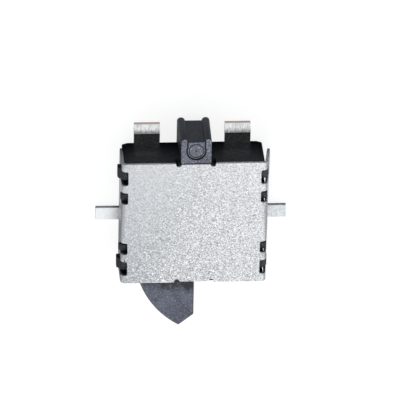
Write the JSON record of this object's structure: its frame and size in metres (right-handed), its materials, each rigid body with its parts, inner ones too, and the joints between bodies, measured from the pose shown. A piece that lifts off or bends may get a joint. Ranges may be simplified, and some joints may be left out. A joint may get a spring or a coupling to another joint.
{
  "type": "detector micro switch",
  "caption": "Surface-mount detector micro switch: a folded steel cover clipped on a dark moulded base, with a sprung shark-fin lever, solder terminals and side anchors.",
  "frame": {"origin": "on the board under the middle of the body: centre of the underside of the solder terminals' plane", "axes": "+Z leaves the steel cover, away from the board; +Y points to the terminal side; +X completes the right-handed frame"},
  "size_m": [0.006, 0.0066, 0.0016],
  "materials": {
    "base_plastic": "fine matte moulding, glass-filled",
    "cover_steel": "satin rolled sheet with fine mottled grain",
    "lever_plastic": "fine matte moulding",
    "spring_wire": "drawn spring wire",
    "contact_strip": "rolled copper alloy strip",
    "terminal_plating": "bright silver plating, bare copper alloy at the cut ends"
  },
  "bodies": {
    "housing": {"base": "base_plastic", "cover": "cover_steel", "left_terminal": "terminal_plating", "right_terminal": "terminal_plating", "left_anchor": "terminal_plating", "right_anchor": "terminal_plating", "return_spring": "spring_wire"},
    "lever": {"lever": "lever_plastic", "moving_contact": "contact_strip"}
  },
  "joints": [
    {"name": "lever_pivot", "type": "hinge", "parent": "housing", "child": "lever", "pos_m": [0.00096, -0.00135, 0.0009], "axis": [0, 0, -1], "range_deg": [0, 45], "stiffness_Nm_per_rad": 0.0004, "springref_deg": -28.65, "deforming": ["return_spring"]}
  ]
}
